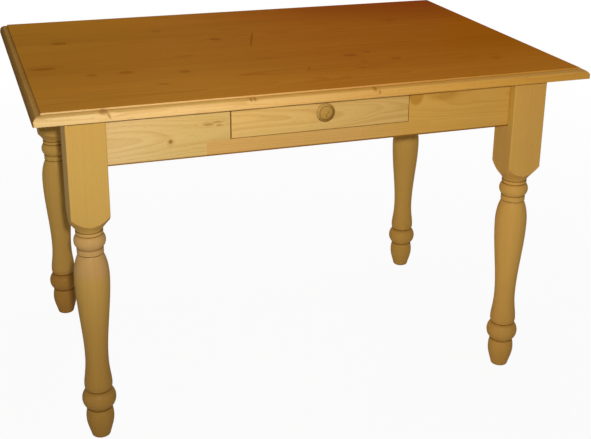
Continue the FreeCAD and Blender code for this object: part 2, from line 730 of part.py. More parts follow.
def drawer_parts():
    """Everything that slides, drawn about the drawer's middle line."""
    side = drawer_side()
    hole = knob_screw(SCREW_SLACK)
    parts = {
        "drawer_front": drawer_front(hole),
        "drawer_side_left": mirrored(side, (1, 0, 0)),
        "drawer_side_right": side,
        "drawer_back": drawer_back(bottom_pins(PANEL_SLACK)),
        "drawer_bottom": drawer_bottom(bottom_pins(PANEL_SLACK)),
        "drawer_knob": knob().cut(hole),
        "knob_screw": knob_screw(0.0),
        "bottom_pins": Part.makeCompound(bottom_pins(0.0)),
    }
    return {node: moved(shape, drawer_middle, 0, 0) for node, shape in parts.items()}


os.makedirs("parts", exist_ok=True)
for node, shape in {**fixed_parts(), **drawer_parts()}.items():
    write(node, shape)
    print(f"{node:20s} {len(shape.Solids):2d} solid(s)  {shape.Volume / 1000:9.2f} cm3")
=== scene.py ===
import math

import bpy
from mathutils import Matrix, Vector


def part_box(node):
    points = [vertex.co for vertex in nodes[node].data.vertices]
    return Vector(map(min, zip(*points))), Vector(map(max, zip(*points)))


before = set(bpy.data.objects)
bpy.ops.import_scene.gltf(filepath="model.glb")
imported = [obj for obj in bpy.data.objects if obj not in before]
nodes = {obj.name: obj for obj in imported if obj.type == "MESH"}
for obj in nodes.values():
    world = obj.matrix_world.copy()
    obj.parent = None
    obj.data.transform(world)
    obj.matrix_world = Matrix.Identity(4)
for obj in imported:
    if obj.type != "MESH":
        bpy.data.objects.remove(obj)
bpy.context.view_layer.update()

METRE = 1000.0
MM = 1.0 / METRE

# The camera: its place in metres, its turns in radians, its sensor in millimetres, and its focal
# length and the foot of its axis in pixels of the picture
CAMERA_PLACE = (-0.74452, -2.33446, 1.36880)
CAMERA_YAW = 0.334548
CAMERA_PITCH = 0.346280
CAMERA_ROLL = 0.011542
SENSOR_WIDTH = 36.0
PICTURE_WIDTH = 591
PICTURE_HEIGHT = 439
FOCAL_PIXELS = 1060.33
CENTRE_ACROSS = 299.73
CENTRE_DOWN = 160.33
NEAREST_SEEN = 0.05
FARTHEST_SEEN = 200.0

# The lamps: place, aim and width in metres, spread in degrees, and watts
LAMPS = {
    "key_softbox": ((-0.703, -2.38, 1.43), (-0.30, -0.32, 0.78), 0.04, 100.0, 12.1),
    "overhead_softbox": ((0.15, 0.35, 2.60), (0.10, 0.10, 0.60), 1.40, 180.0, 8.0),
    "left_softbox": ((-2.80, 0.50, 1.50), (0.0, 0.0, 0.60), 1.20, 180.0, 6.0),
    "right_softbox": ((2.80, 1.00, 1.50), (0.0, 0.0, 0.60), 1.20, 180.0, 6.0),
    "rear_softbox": ((1.00, 2.80, 1.70), (0.0, 0.0, 0.60), 1.60, 180.0, 30.0),
}

# The room and the floor. Near the table the floor shows SHADOW_SHARE of its shadow, and from
# SHADOW_FAR metres none.
ROOM_LIGHT = 0.17
BACKDROP_WHITE = "ffffff"
PAPER_GREY = "d4d4d4"
FLOOR_HALF = 30.0
SHADOW_SHARE = 0.06
SHADOW_NEAR = 0.7
SHADOW_FAR = 3.4

# Marks in the pine: length along the grain and width across it in millimetres, and how broken up.
# Real fibres are a thirtieth of a millimetre wide, so they are drawn coarser, as bundles that show.
PINE_MARKS = {
    "wander": (340.0, 75.0, 1.5),
    "ripple": (95.0, 28.0, 1.0),
    "cloud": (420.0, 110.0, 1.5),
    "streak": (380.0, 11.0, 1.5),
    "fibre": (40.0, 0.9, 1.5),
    "fleck": (11.0, 0.8, 0.0),
    "patch": (60.0, 30.0, 3.0),
}
PIECE_SEED = 10.0
PIECE_SEED_STEP = 7.3
MARK_SEED_STEP = 1.7

# Growth rings in millimetres: their width, how far the years differ, and how far they are bent
RING_WIDTH = 3.0
UNEVEN_RINGS = 2.2
WEATHER_PACE = 0.35
WANDER_REACH = 14.0
RIPPLE_REACH = 2.4
KNOT_BEND = 9.0

# Finish: millimetres of dirt and painted shade in hollows, wear and pores, and the wax
DIRT_AND_SHADE_REACH = 6.0
WEAR_RADIUS = 1.6
PORE_DEPTH = 0.08
FIBRE_RELIEF = 0.8
BEESWAX_IOR = 1.44
BEESWAX_ROUGHNESS = 0.28
FIBRE_SHADE = 0.14
UNEVEN_SHEEN = (("cloud", 0.10), ("fibre", 0.08))

# How a measure becomes a share, as sockets of Map Range: 1 and 2 are where it starts and ends, and
# 3 and 4 are the shares there, 0 and 1 if not given. Knots are measured in their own radii.
SMOOTH = {"interpolation_type": "SMOOTHSTEP"}
SUMMER_RISE = {1: 0.35, 2: 0.93}
SUMMER_FALL = {1: 0.93, 2: 1.0, 3: 1.0, 4: 0.0}
DRY_YEARS = {1: 0.3, 2: 0.7, 3: 0.55, 4: 1.0}
NO_KNOT = 9.0
KNOT_UNROUND = 0.5
KNOT_REACH = {1: 3.0, 2: 3.6, 4: 0.0}
KNOT_SWIRL = {1: 0.8, 2: 3.5, 3: 1.0, 4: 0.0}
KNOT_CORE = {1: 0.8, 2: 1.4, 3: 1.0, 4: 0.0}
RIM_INSIDE = {1: 0.95, 2: 1.2}
RIM_OUTSIDE = {1: 1.2, 2: 1.55, 3: 0.6, 4: 0.0}
RINGS_SHOW = 0.5
STREAKS = {1: 0.45, 2: 0.85}
STREAKS_SHOW = 0.45
FLECKS = {1: 0.70, 2: 0.80}
FLECKS_SHOW = 0.55
SHARP_EDGE = {1: 0.90, 2: 0.99, 3: 1.0, 4: 0.0}
RUBBED_AND_LIT_PATCHES = {1: 0.35, 2: 0.65, 3: 0.15, 4: 0.80}
HOLLOW = {1: 0.35, 2: 0.92, 4: 0.0}
CLOUDY = {1: 0.2, 2: 0.8, 3: 0.93, 4: 1.07}

# What each mark does to the clean colour, as the share of red, green and blue that it leaves
LATEWOOD = (0.74, 0.58, 0.36)
STREAKED = (0.90, 0.80, 0.64)
RESIN = (0.55, 0.38, 0.24)
KNOT_HALO = (0.86, 0.72, 0.52)
KNOT_HEART = (0.46, 0.30, 0.18)
KNOT_RIM = (0.30, 0.17, 0.10)
CUT_ACROSS = (0.74, 0.62, 0.46)
CUT_AND_STAINED = (0.42, 0.33, 0.20)
# painted shade in the hollow under the moulding's lip
PAINTED_HOLLOW_SHADE = (0.74, 0.66, 0.48)
# deep amber for upward faces: partly the top's own colour, partly painted shade and warm light where light
# only grazes
AMBER_AND_GRAZING_SHADE = (0.62, 0.398, 0.116)
# painted shade, darker and redder towards the right-hand end, where the light falls off
SHADED_RIGHT_END = (0.98, 0.70, 0.26)
DARKER_CORNER = (0.70, 0.40, 0.20)
LIGHTER_CORNER = (1.12, 1.16, 1.05)
GOLDEN_CORNER = (1.24, 1.48, 3.00)
RUBBED_FRONT = (1.08, 1.11, 1.10)
NEVER_WAXED = (1.06, 1.14, 1.40)
# paler rubbed edges, which also paint the highlight that the lamp puts on rounded arrises
RUBBED_EDGE_AND_HIGHLIGHT = (1.10, 1.12, 1.20)
# dirt, and painted shade in hollows, gaps and along lower arrises
DIRT_AND_SHADE = (0.40, 0.28, 0.16)
# grime on the legs, and painted shade where the light falls off towards the feet
HANDLED_AND_SHADED = (0.52, 0.43, 0.34)
KNOB_SHADE = (0.42, 0.34, 0.22)
OLIVE_CLOUD = (0.74, 0.64, 0.42)
# painted light: takes the orange of the apron's bounce light off a leg's side
PAINTED_OFF_BOUNCE = (0.92, 1.06, 0.94)
# painted highlight: the pale pinkish sheen of the lamp on a turning
PAINTED_BEAD_SHEEN = (1.0, 0.99, 1.42)
SCUFFED_FOOT = (0.82, 0.71, 0.62)
YELLOWER = (0.93, 0.90, 0.72)
WARMER = (1.05, 1.00, 0.72)

# Ageing and painted light: from which to which height of the normal a face takes the tint, an ellipsoid's
# centre and radii in millimetres, from which to which distance in those radii the tint comes in, its full
# share, and the tint. A radius of BEYOND leaves that direction out, and ANY_WAY is all faces.
BEYOND = 1e6
EVERYWHERE = (BEYOND, BEYOND, BEYOND)
ANY_WAY = (-3.0, -2.0)
UPWARD = (0.60, 0.985)

# Finishes: how strongly the grain shows, roughness, weight of the wax coat, share of dirt and painted shade
# in the hollows, how square to the grain a cut end is and its tint, and ageing with painted light and shade
CLEAN_CUT = (0.45, 0.95, CUT_ACROSS)
FINISHES = {
    # planed, stained and waxed, then darkened by years of light: deep amber on top, pale below. The deep
    # amber is partly painted shade and warm light, for a top that the light only grazes
    "waxed_pine_top": {
        "figure": 0.8, "roughness": 0.50, "wax": 0.004, "dirt_and_shade": 0.35,
        "cut": (0.20, 0.75, CUT_AND_STAINED),
        "ageing_and_painted_light": (
            (UPWARD, (0, 0, 775), (BEYOND, BEYOND, 1), 1.0, 0.2, 1.0, AMBER_AND_GRAZING_SHADE),
            # the hollow under the moulding's lip: painted shade where its upward-facing curve turns from
            # the light
            ((0.55, 0.95), (0, 0, 771), (BEYOND, BEYOND, 3), 1.15, 1.05, 1.0, PAINTED_HOLLOW_SHADE),
            ((0.90, 0.985), (0, 0, 0), (583, BEYOND, BEYOND), 0.999, 1.001, 0.6, AMBER_AND_GRAZING_SHADE),
            ((-0.5, -0.9), (0, 0, 0), EVERYWHERE, 1.0, 0.0, 1.0, NEVER_WAXED),
        ),
    },
    # turned on a lathe and waxed: a quiet straight grain, and dirt with painted shade in the quirks
    "waxed_turned_pine": {
        "figure": 0.35, "roughness": 0.46, "wax": 0.08, "dirt_and_shade": 0.65,
        "cut": CLEAN_CUT, "ageing_and_painted_light": (),
    },
    # the same, small and much handled: streaky, with dirt and painted shade in its groove
    "waxed_knob_pine": {
        "figure": 1.1, "roughness": 0.44, "wax": 0.08, "dirt_and_shade": 0.95,
        "cut": CLEAN_CUT, "ageing_and_painted_light": (),
    },
    # planed and waxed: honey-coloured, grain along the rail, and painted shade along the lower arris of its
    # foot
    "waxed_planed_pine": {
        "figure": 0.75, "roughness": 0.46, "wax": 0.06, "dirt_and_shade": 0.30,
        "cut": CLEAN_CUT,
        # painted shade: a dark line along the lower arris, which turns from the light
        "ageing_and_painted_light": (((-0.80, -0.55), (0, 0, 629.5), (BEYOND, BEYOND, 5), 1.0, 0.4, 1.0, DIRT_AND_SHADE),),
    },
    # sawn and planed, never waxed: pale and dry
    "bare_pine": {
        "figure": 0.9, "roughness": 0.66, "wax": 0.0, "dirt_and_shade": 0.3,
        "cut": CLEAN_CUT, "ageing_and_painted_light": (),
    },
}

# A board's own directions: along its grain, across its face, out of its face
ALONG_TOP = ((1, 0, 0), (0, 1, 0), (0, 0, 1))
ALONG_FRONT = ((1, 0, 0), (0, 0, -1), (0, 1, 0))
ALONG_END = ((0, 1, 0), (0, 0, 1), (1, 0, 0))
UPRIGHT = ((0, 0, 1), (0, 1, 0), (-1, 0, 0))
FORE_AND_AFT = ((0, 1, 0), (-1, 0, 0), (0, 0, 1))

# Pine pieces: finish, colour, grain, pith across and below the face, and lean of the tree in the board
PINE_PIECES = {
    "top_board_1": ("waxed_pine_top", "e3c083", ALONG_TOP, (20, -70), 0.012),
    "top_board_2": ("waxed_pine_top", "e0bb7c", ALONG_TOP, (-35, -95), -0.016),
    "top_board_3": ("waxed_pine_top", "dfb978", ALONG_TOP, (5, -60), 0.010),
    "top_board_4": ("waxed_pine_top", "e2bc7a", ALONG_TOP, (40, -110), 0.018),
    "top_board_5": ("waxed_pine_top", "ddb876", ALONG_TOP, (-15, -85), -0.012),
    "top_board_6": ("waxed_pine_top", "e0ba7a", ALONG_TOP, (25, -65), 0.015),
    "leg_front_left": ("waxed_turned_pine", "c9a052", UPRIGHT, (6, -85), 0.008),
    "leg_front_right": ("waxed_turned_pine", "e2ae57", UPRIGHT, (-55, -60), -0.009),
    "leg_back_left": ("waxed_turned_pine", "c49a4d", UPRIGHT, (-10, 80), 0.010),
    "leg_back_right": ("waxed_turned_pine", "d7a853", UPRIGHT, (-50, -62), 0.008),
    "apron_front_left": ("waxed_planed_pine", "d9b97d", ALONG_FRONT, (12, -85), 0.020),
    "apron_front_right": ("waxed_planed_pine", "d9a850", ALONG_FRONT, (-20, -95), -0.020),
    "drawer_rail": ("waxed_planed_pine", "d1a45c", ALONG_FRONT, (60, -80), 0.012),
    "drawer_front": ("waxed_planed_pine", "dab36a", ALONG_FRONT, (8, -60), 0.022),
    "apron_back": ("waxed_planed_pine", "d8ad62", ALONG_FRONT, (-15, 75), 0.015),
    "apron_left": ("waxed_planed_pine", "d6ab62", ALONG_END, (10, -80), 0.018),
    "apron_right": ("waxed_planed_pine", "d9a856", ALONG_END, (-12, 85), 0.015),
    "drawer_knob": ("waxed_knob_pine", "d5b76c", FORE_AND_AFT, (5, -9), 0.010),
    "drawer_side_left": ("bare_pine", "e0c594", FORE_AND_AFT, (60, -50), 0.012),
    "drawer_side_right": ("bare_pine", "dfc290", FORE_AND_AFT, (55, -60), -0.010),
    "drawer_back": ("bare_pine", "e1c797", ALONG_FRONT, (20, -80), 0.015),
    "drawer_bottom": ("bare_pine", "e3ca9c", ALONG_TOP, (30, -90), 0.012),
    "runner_left": ("bare_pine", "d8bb86", FORE_AND_AFT, (25, -60), 0.010),
    "runner_right": ("bare_pine", "d6b882", FORE_AND_AFT, (20, -55), 0.012),
    "guide_left": ("bare_pine", "dabd88", FORE_AND_AFT, (-25, -60), 0.010),
    "guide_right": ("bare_pine", "d7b984", FORE_AND_AFT, (30, -50), 0.010),
    "kicker_left": ("bare_pine", "d9bc88", FORE_AND_AFT, (15, -60), 0.012),
    "kicker_right": ("bare_pine", "d8ba84", FORE_AND_AFT, (22, -65), 0.010),
    "drawer_stop_left": ("bare_pine", "dcbf8c", ALONG_TOP, (15, -50), 0.010),
    "drawer_stop_right": ("bare_pine", "d9bb86", ALONG_TOP, (12, -45), 0.010),
}
for number in range(1, 10):
    PINE_PIECES[f"top_button_{number}"] = ("bare_pine", "d8bb86", FORE_AND_AFT, (10 + number, -45), 0.010)

# Knots: centre in millimetres, radii along the grain, across it and inward, turns in degrees, darkness
FLAT = (0, 0, 0)
KNOTS = {
    "top_board_1": (
        ((-467, -401, 770), (8, 12, 4.5), FLAT, 0.55), ((-458, -408, 764), (2.5, 12, 7), (0, -25, 0), 0.25),
        ((-176, -404, 770), (3, 8, 3), FLAT, 0.60), ((-168, -404, 770), (3, 8, 3), FLAT, 0.60),
        ((89, -402, 770), (4, 10, 4.5), FLAT, 0.50), ((98, -409, 763), (2.5, 10, 4), FLAT, 0.35),
    ),
    "top_board_2": (
        ((-378, -150, 775), (14, 10, 30), FLAT, 0.34), ((-257, -178, 775), (11, 9, 30), FLAT, 0.36),
        ((136, -146, 775), (15, 10, 30), FLAT, 0.42), ((224, -201, 775), (11, 8, 30), FLAT, 0.35),
        ((145, -206, 775), (8, 6, 30), FLAT, 0.28), ((122, -258, 775), (8, 6, 30), FLAT, 0.28),
        ((447, -260, 775), (10, 7, 30), FLAT, 0.28), ((-451, -152, 775), (10, 8, 30), FLAT, 0.28),
        ((-320, -262, 775), (10, 7, 30), FLAT, 0.28), ((7, -228, 775), (14, 2, 30), (0, 0, 65), 0.40),
    ),
    "top_board_3": (
        ((-543, -72, 775), (26, 11, 30), FLAT, 0.42), ((185, -126, 775), (9, 7, 30), FLAT, 0.35),
        ((-227, -49, 775), (24, 4, 30), FLAT, 0.25), ((-55, -122, 775), (27, 4, 30), FLAT, 0.25),
    ),
    "top_board_4": (
        ((-120, 92, 775), (13, 10, 30), FLAT, 0.42), ((-37, 65, 775), (66, 2, 30), (0, 0, 72), 0.50),
    ),
    "top_board_5": (
        ((-484, 150, 775), (16, 11, 30), FLAT, 0.42), ((-239, 215, 775), (10, 8, 30), FLAT, 0.28),
        ((371, 170, 775), (11, 8, 30), FLAT, 0.32),
    ),
    "apron_front_left": (
        ((-323, -320, 669), (3.8, 3.8, 25), FLAT, 0.80), ((-243, -320, 699), (9, 3, 20), FLAT, 0.45),
        ((-222, -320, 702.5), (11, 2.2, 20), FLAT, 0.34), ((-218, -320, 695), (8, 1.8, 20), FLAT, 0.28),
    ),
    "apron_back": (
        ((-300, 320, 690), (11, 9, 30), FLAT, 0.80), ((95, 320, 722), (8, 7, 30), FLAT, 0.70),
        ((330, 320, 668), (6, 5, 30), FLAT, 0.90),
    ),
    "apron_left": (((-512, 120, 700), (10, 8, 30), FLAT, 0.75),),
    "apron_right": (((512, -70, 684), (9, 8, 30), FLAT, 0.70),),
    "drawer_knob": (
        ((5.5, -344, 701.5), (20, 1.5, 4), FLAT, 0.50), ((9.5, -344, 709), (20, 1.4, 5), (25, 0, 0), 0.40),
    ),
}

# How each piece has aged besides, with painted light and shade among the tints where marked
# each leg darker towards its foot: partly grime, partly painted shade where the light falls off
DOWN_THE_LEG = (ANY_WAY, (0, 0, 775), (BEYOND, BEYOND, 735))
AGEING_AND_PAINTED_LIGHT = {
    "leg_front_left": (
        (*DOWN_THE_LEG, 0.21, 1.0, 0.8, HANDLED_AND_SHADED),
        # painted highlight: the pale pinkish sheen of the lamp on the bead and the top of the vase
        (ANY_WAY, (0, 0, 440), (BEYOND, BEYOND, 60), 1.05, 0.55, 1.0, PAINTED_BEAD_SHEEN),
    ),
    "leg_front_right": (
        (*DOWN_THE_LEG, 0.6, 1.0, 0.42, HANDLED_AND_SHADED),
        # painted light: takes the orange of the apron's bounce light off the leg's left face beside it
        (ANY_WAY, (455, 0, 700), (1.5, BEYOND, 78), 1.05, 0.85, 1.0, PAINTED_OFF_BOUNCE),
    ),
    "leg_back_left": (
        (*DOWN_THE_LEG, 0.21, 1.0, 0.25, HANDLED_AND_SHADED),
        (ANY_WAY, (0, 0, 0), (BEYOND, BEYOND, 120), 1.15, 0.9, 1.0, SCUFFED_FOOT),
    ),
    "leg_back_right": ((*DOWN_THE_LEG, 0.21, 1.0, 0.3, HANDLED_AND_SHADED),),
    "drawer_knob": ((ANY_WAY, (1, 0, 712), (22, BEYOND, 22), 0.62, 1.05, 0.85, KNOB_SHADE),),
    "drawer_front": ((ANY_WAY, (-200, 0, 0), (400, BEYOND, BEYOND), 0.0, 1.0, 0.25, YELLOWER),),
    "drawer_rail": ((ANY_WAY, (260, 0, 0), (200, BEYOND, BEYOND), 1.0, 0.0, 1.0, WARMER),),
    "apron_front_left": ((ANY_WAY, (-470, 0, 0), (270, BEYOND, BEYOND), 0.0, 0.8, 1.0, YELLOWER),),
    "apron_front_right": (
        (ANY_WAY, (223, -320, 722), (18, 30, 24), 1.15, 0.75, 0.9, OLIVE_CLOUD),
        (ANY_WAY, (285, -320, 724), (46, 30, 22), 1.1, 0.6, 0.5, OLIVE_CLOUD),
    ),
}
for number in range(1, 7):
    AGEING_AND_PAINTED_LIGHT[f"top_board_{number}"] = (
        # darker towards the right-hand end: painted shade where the light falls off
        (ANY_WAY, (-700, 0, 0), (1400, BEYOND, BEYOND), 0.0, 0.85, 1.0, SHADED_RIGHT_END),
        (ANY_WAY, (650, 450, 0), (1000, 450, BEYOND), 1.0, 0.0, 1.0, DARKER_CORNER),
        (UPWARD, (600, -450, 0), (620, 400, BEYOND), 1.0, 0.0, 1.0, GOLDEN_CORNER),
        (UPWARD, (-560, 420, 0), (560, 420, BEYOND), 1.0, 0.0, 0.9, LIGHTER_CORNER),
        (UPWARD, (-50, -410, 0), (560, 320, BEYOND), 1.0, 0.3, 1.0, RUBBED_FRONT),
    )

# Steel: zinc crystals and how deep they stand, in millimetres
STEEL_PIECES = ("button_screws", "kicker_screws", "knob_screw", "bottom_pins")
STEEL_SEED = 5.0
ZINC_CRYSTAL = 1.2
ZINC_DEPTH = 0.02
ZINC_BRIGHT = "c9c8c4"
ZINC_DULL = "a4a5a8"
ZINC_ROUGHNESS = {3: 0.28, 4: 0.43}

# Beech: ray flecks across and along the dowel and their depth, in millimetres
BEECH_SEED = 3.0
RAY_FLECK = (1.0, 1.0, 3.0)
RAY_DEPTH = 0.05
RAYS = {1: 0.60, 2: 0.70}
BEECH_TAN = "d6ae84"
BEECH_RAY = "a67850"
BEECH_ROUGHNESS = {3: 0.52, 4: 0.66}
BEECH_GLOSS = 0.15


def linear(hex_colour):
    """An sRGB colour in hex as the linear RGBA that shaders take."""
    channels = [int(hex_colour[i:i + 2], 16) / 255 for i in (0, 2, 4)]
    turned = [c / 12.92 if c <= 0.04045 else ((c + 0.055) / 1.055) ** 2.4 for c in channels]
    return (*turned, 1.0)


def add(tree, kind, sockets=None, output=0, **settings):
    """Adds a node, sets or links its sockets, and gives the output asked for."""
    made = tree.nodes.new("ShaderNode" + kind)
    for name, value in settings.items():
        setattr(made, name, value)
    for name, value in (sockets or {}).items():
        if isinstance(value, bpy.types.NodeSocket):
            tree.links.new(value, made.inputs[name])
        else:
            made.inputs[name].default_value = value
    return made.outputs[output] if made.outputs else made


def new_material(name):
    """An empty material."""
    material = bpy.data.materials.new(name)
    material.use_nodes = True
    material.node_tree.nodes.clear()
    return material


def make_camera():
    """The camera stands before the left-hand end and looks down along the table."""
    data = bpy.data.cameras.new("camera")
    camera = bpy.data.objects.new("camera", data)
    bpy.context.scene.collection.objects.link(camera)
    sin_yaw, cos_yaw = math.sin(CAMERA_YAW), math.cos(CAMERA_YAW)
    sin_pitch, cos_pitch = math.sin(CAMERA_PITCH), math.cos(CAMERA_PITCH)
    sin_roll, cos_roll = math.sin(CAMERA_ROLL), math.cos(CAMERA_ROLL)
    ahead = Vector((sin_yaw * cos_pitch, cos_yaw * cos_pitch, -sin_pitch))
    level = Vector((cos_yaw, -sin_yaw, 0.0))
    upward = level.cross(ahead)
    across = level * cos_roll + upward * sin_roll
    up = upward * cos_roll - level * sin_roll
    turned = Matrix((across, up, -ahead)).transposed().to_4x4()
    camera.matrix_world = Matrix.Translation(CAMERA_PLACE) @ turned
    data.sensor_width = SENSOR_WIDTH
    data.lens = FOCAL_PIXELS / PICTURE_WIDTH * SENSOR_WIDTH
    data.shift_x = (PICTURE_WIDTH / 2 - CENTRE_ACROSS) / PICTURE_WIDTH
    data.shift_y = (CENTRE_DOWN - PICTURE_HEIGHT / 2) / PICTURE_WIDTH
    data.clip_start = NEAREST_SEEN
    data.clip_end = FARTHEST_SEEN
    bpy.context.scene.camera = camera


def make_softbox(name, place, aim, width, spread, watts):
    """A square lamp that faces the table. A narrow spread is a grid on its front."""
    data = bpy.data.lights.new(name, "AREA")
    data.shape = "SQUARE"
    data.size = width
    data.spread = math.radians(spread)
    data.energy = watts
    lamp = bpy.data.objects.new(name, data)
    bpy.context.scene.collection.objects.link(lamp)
    direction = Vector(aim) - Vector(place)
    turned = direction.to_track_quat("-Z", "Y").to_matrix().to_4x4()
    lamp.matrix_world = Matrix.Translation(place) @ turned


def seen_directly(tree):
    """1 for a ray that looks at the backdrop straight, in a reflection or through glass."""
    seen = 0.0
    for look in ("Is Camera Ray", "Is Glossy Ray", "Is Transmission Ray"):
        ray = add(tree, "LightPath", output=look)
        seen = add(tree, "Math", {0: seen, 1: ray}, operation="MAXIMUM")
    return seen


def make_room():
    """An even room: grey as a light, white where it is seen."""
    world = bpy.data.worlds.new("studio_room")
    bpy.context.scene.world = world
    world.use_nodes = True
    tree = world.node_tree
    tree.nodes.clear()
    white = linear(BACKDROP_WHITE)
    lit = add(tree, "Background", {"Color": white, "Strength": ROOM_LIGHT})
    shown = add(tree, "Background", {"Color": white, "Strength": 1.0})
    room = add(tree, "MixShader", {0: seen_directly(tree), 1: lit, 2: shown})
    add(tree, "OutputWorld", {"Surface": room})


def make_floor():
    """Backdrop paper, white where it is seen, that keeps a soft shadow and is clear from beneath."""
    bpy.ops.object.select_all(action="DESELECT")
    bpy.ops.mesh.primitive_plane_add(size=2 * FLOOR_HALF, location=(0, 0, 0))
    floor = bpy.context.object
    floor.name = "studio_floor"
    material = new_material("backdrop_paper")
    tree = material.node_tree
    place = add(tree, "TexCoord", output="Object")
    away = add(tree, "VectorMath", {0: place}, "Value", operation="LENGTH")
    near_and_far = {0: away, 1: SHADOW_NEAR, 2: SHADOW_FAR, 3: 1.0 - SHADOW_SHARE, 4: 1.0}
    whiteness = add(tree, "MapRange", near_and_far, **SMOOTH)
    whiteness = add(tree, "Math", {0: whiteness, 1: seen_directly(tree)}, operation="MULTIPLY")
    paper = add(tree, "BsdfDiffuse", {"Color": linear(PAPER_GREY)})
    white = add(tree, "Emission", {"Color": linear(BACKDROP_WHITE), "Strength": 1.0})
    surface = add(tree, "MixShader", {0: whiteness, 1: paper, 2: white})
    beneath = add(tree, "NewGeometry", output="Backfacing")
    surface = add(tree, "MixShader", {0: beneath, 1: surface, 2: add(tree, "BsdfTransparent")})
    add(tree, "OutputMaterial", {"Surface": surface})
    floor.data.materials.append(material)


def find_marks(tree, grain, seed):
    """Each mark in the pine, as a noise stretched along the grain."""
    marks = {}
    for number, (mark, (length, width, detail)) in enumerate(PINE_MARKS.items()):
        size = (1.0 / length, 1.0 / width, 1.0 / width)
        stretched = add(tree, "VectorMath", {0: grain, 1: size}, operation="MULTIPLY")
        moved = seed + MARK_SEED_STEP * number
        speckle = {"Vector": stretched, "W": moved, "Scale": 1.0, "Detail": detail}
        marks[mark] = add(tree, "TexNoise", speckle, noise_dimensions="4D")
    return marks


def find_knots(tree, grain, knots, unround):
    """How far a place is from the nearest knot, in knot radii, and how dark that knot is."""
    away = NO_KNOT
    darkness = 0.0
    for centre, radii, turns, dark in knots:
        lying = [math.radians(turn) for turn in turns]
        seat = {"Vector": grain, "Location": centre, "Rotation": lying, "Scale": radii}
        place = add(tree, "Mapping", seat, vector_type="TEXTURE")
        reach = add(tree, "VectorMath", {0: place}, "Value", operation="LENGTH")
        here = add(tree, "MapRange", {0: reach, **KNOT_REACH, 3: dark}, **SMOOTH)
        away = add(tree, "Math", {0: away, 1: reach}, operation="MINIMUM")
        darkness = add(tree, "Math", {0: darkness, 1: here}, operation="MAXIMUM")
    away = add(tree, "Math", {0: unround, 1: KNOT_UNROUND, 2: away}, operation="MULTIPLY_ADD")
    return away, darkness


def knot_layers(tree, grain, knots, unround):
    """How far the rings swirl round the knots, and the halo, heart and rim of each knot."""
    away, dark = find_knots(tree, grain, knots, unround)
    swirl = add(tree, "MapRange", {0: away, **KNOT_SWIRL}, **SMOOTH)
    heart = add(tree, "MapRange", {0: away, **KNOT_CORE}, **SMOOTH)
    inside = add(tree, "MapRange", {0: away, **RIM_INSIDE}, **SMOOTH)
    outside = add(tree, "MapRange", {0: away, **RIM_OUTSIDE}, **SMOOTH)
    rim = add(tree, "Math", {0: inside, 1: outside}, operation="MULTIPLY")
    swirl = add(tree, "Math", {0: swirl, 1: dark}, operation="MULTIPLY")
    layers = []
    for share, tint in ((swirl, KNOT_HALO), (heart, KNOT_HEART), (rim, KNOT_RIM)):
        layers.append((add(tree, "Math", {0: share, 1: dark}, operation="MULTIPLY"), tint))
    return swirl, layers


def growth_rings(tree, grain, marks, swirl, pith, lean):
    """Summer wood: a slow rise to a thin dark line at the end of each year's ring."""
    leaning = {"Vector": grain, "Location": (0, -pith[0], -pith[1]), "Rotation": (0, -lean, 0)}
    from_pith = add(tree, "Mapping", leaning, vector_type="POINT")
    from_pith = add(tree, "VectorMath", {0: from_pith, 1: (0, 1, 1)}, operation="MULTIPLY")
    radius = add(tree, "VectorMath", {0: from_pith}, "Value", operation="LENGTH")
    bends = ((marks["wander"], WANDER_REACH), (marks["ripple"], RIPPLE_REACH), (swirl, KNOT_BEND))
    for bend, reach in bends:
        radius = add(tree, "Math", {0: bend, 1: reach, 2: radius}, operation="MULTIPLY_ADD")
    years = add(tree, "Math", {0: radius, 1: RING_WIDTH}, operation="DIVIDE")
    spells = {"W": years, "Scale": WEATHER_PACE, "Detail": 1.0}
    weather = add(tree, "TexNoise", spells, noise_dimensions="1D")
    years = add(tree, "Math", {0: weather, 1: UNEVEN_RINGS, 2: years}, operation="MULTIPLY_ADD")
    season = add(tree, "Math", {0: years}, operation="FRACT")
    rise = add(tree, "MapRange", {0: season, **SUMMER_RISE}, **SMOOTH)
    fall = add(tree, "MapRange", {0: season, **SUMMER_FALL}, **SMOOTH)
    dry_years = add(tree, "MapRange", {0: weather, **DRY_YEARS}, **SMOOTH)
    summer = add(tree, "Math", {0: rise, 1: fall}, operation="MULTIPLY")
    return add(tree, "Math", {0: summer, 1: dry_years}, operation="MULTIPLY")


def ageing_and_painted_light_layers(tree, place, normal, ageing_and_painted_light):
    """The tints that a piece has taken on where it is lit, handled or kicked, and painted light and shade
    laid on the same way.
    """
    layers = []
    upward = add(tree, "SeparateXYZ", {0: normal}, "Z")
    for facing, centre, radii, start, end, share, tint in ageing_and_painted_light:
        turned = add(tree, "MapRange", {0: upward, 1: facing[0], 2: facing[1]}, **SMOOTH)
        seat = {"Vector": place, "Location": Vector(centre) * MM, "Scale": Vector(radii) * MM}
        away = add(tree, "Mapping", seat, vector_type="TEXTURE")
        away = add(tree, "VectorMath", {0: away}, "Value", operation="LENGTH")
        near = add(tree, "MapRange", {0: away, 1: start, 2: end, 4: share}, **SMOOTH)
        layers.append((add(tree, "Math", {0: turned, 1: near}, operation="MULTIPLY"), tint))
    return layers


